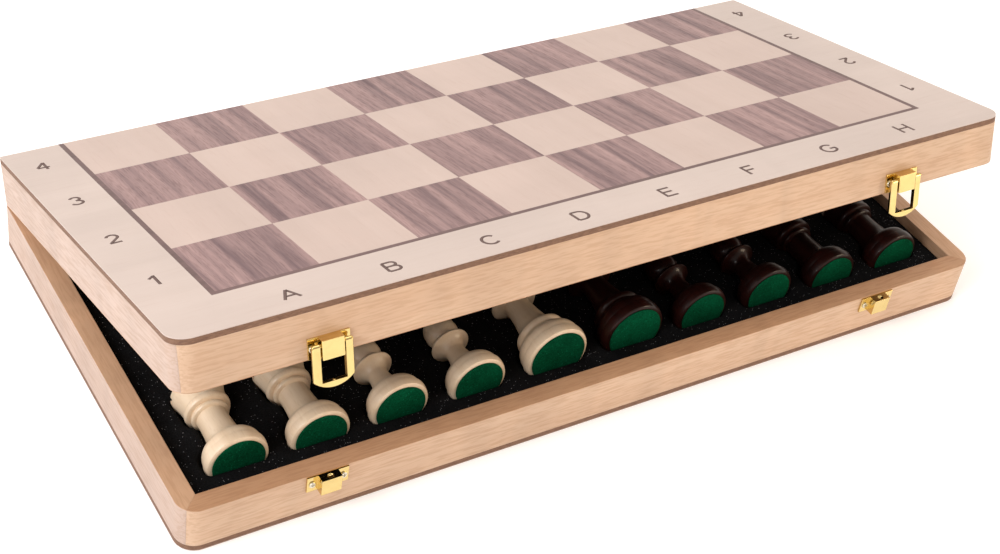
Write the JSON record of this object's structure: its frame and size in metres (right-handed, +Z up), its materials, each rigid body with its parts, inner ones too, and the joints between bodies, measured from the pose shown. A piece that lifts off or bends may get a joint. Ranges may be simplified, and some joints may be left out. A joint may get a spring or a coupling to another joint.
{
  "type": "chess box",
  "caption": "Folding wooden chess box standing ajar: hinged lid with a checkerboard on its outside, swing latches, and turned chess pieces lying in a fitted foam tray.",
  "frame": {"origin": "centre of the base's underside, which is the outer face of the base's half of the board", "axes": "+X along the long side, to the right seen from the front; +Y from the front to the hinge; +Z up"},
  "size_m": [0.467, 0.2435, 0.1155],
  "materials": {
    "light_veneer": "satin",
    "dark_veneer": "satin",
    "line_veneer": "satin",
    "fibreboard": "matte",
    "rail_wood": "satin",
    "black_foam": "matte",
    "gilt_metal": "polished",
    "screw_steel": "polished",
    "pale_wood": "satin",
    "dark_wood": "gloss",
    "green_felt": "matte"
  },
  "bodies": {
    "base": {"base_border_veneer": "light_veneer", "base_dark_squares": "dark_veneer", "base_field_line": "line_veneer", "base_light_squares": "light_veneer", "base_panel": "fibreboard", "base_rail_back": "rail_wood", "base_rail_front": "rail_wood", "base_rail_left": "rail_wood", "base_rail_right": "rail_wood", "dark_bishop_1": "dark_wood", "dark_bishop_2": "dark_wood", "dark_felts": "green_felt", "dark_king": "dark_wood", "dark_knight_1": "dark_wood", "dark_knight_2": "dark_wood", "dark_pawns": "dark_wood", "dark_queen": "dark_wood", "dark_rook_1": "dark_wood", "dark_rook_2": "dark_wood", "foam_tray": "black_foam", "hinge_left_base_leaf": "gilt_metal", "hinge_left_pin": "gilt_metal", "hinge_right_base_leaf": "gilt_metal", "hinge_right_pin": "gilt_metal", "hinge_screws_base": "screw_steel", "latch_left_keeper": "gilt_metal", "latch_right_keeper": "gilt_metal", "latch_screws_base": "screw_steel", "white_bishop_1": "pale_wood", "white_bishop_2": "pale_wood", "white_felts": "green_felt", "white_king": "pale_wood", "white_knight_1": "pale_wood", "white_knight_2": "pale_wood", "white_pawns": "pale_wood", "white_queen": "pale_wood", "white_rook_1": "pale_wood", "white_rook_2": "pale_wood"},
    "lid": {"hinge_left_lid_leaf": "gilt_metal", "hinge_right_lid_leaf": "gilt_metal", "hinge_screws_lid": "screw_steel", "latch_left_mount": "gilt_metal", "latch_left_pin": "gilt_metal", "latch_right_mount": "gilt_metal", "latch_right_pin": "gilt_metal", "latch_screws_lid": "screw_steel", "lid_border_veneer": "light_veneer", "lid_dark_squares": "dark_veneer", "lid_field_line": "line_veneer", "lid_light_squares": "light_veneer", "lid_lining": "black_foam", "lid_panel": "fibreboard", "lid_rail_back": "rail_wood", "lid_rail_front": "rail_wood", "lid_rail_left": "rail_wood", "lid_rail_right": "rail_wood"},
    "latch_left": {"latch_left_frame": "gilt_metal"},
    "latch_right": {"latch_right_frame": "gilt_metal"}
  },
  "joints": [
    {"name": "lid_hinge", "type": "hinge", "parent": "base", "child": "lid", "pos_m": [0, 0.11575, 0.0264], "axis": [-1, 0, 0], "range_deg": [-16, 164]},
    {"name": "latch_left_swing", "type": "hinge", "parent": "lid", "child": "latch_left", "pos_m": [-0.1635, -0.10803, 0.09837], "axis": [-1, 0, 0], "range_deg": [0, 150]},
    {"name": "latch_right_swing", "type": "hinge", "parent": "lid", "child": "latch_right", "pos_m": [0.1635, -0.10803, 0.09837], "axis": [-1, 0, 0], "range_deg": [0, 150]}
  ]
}
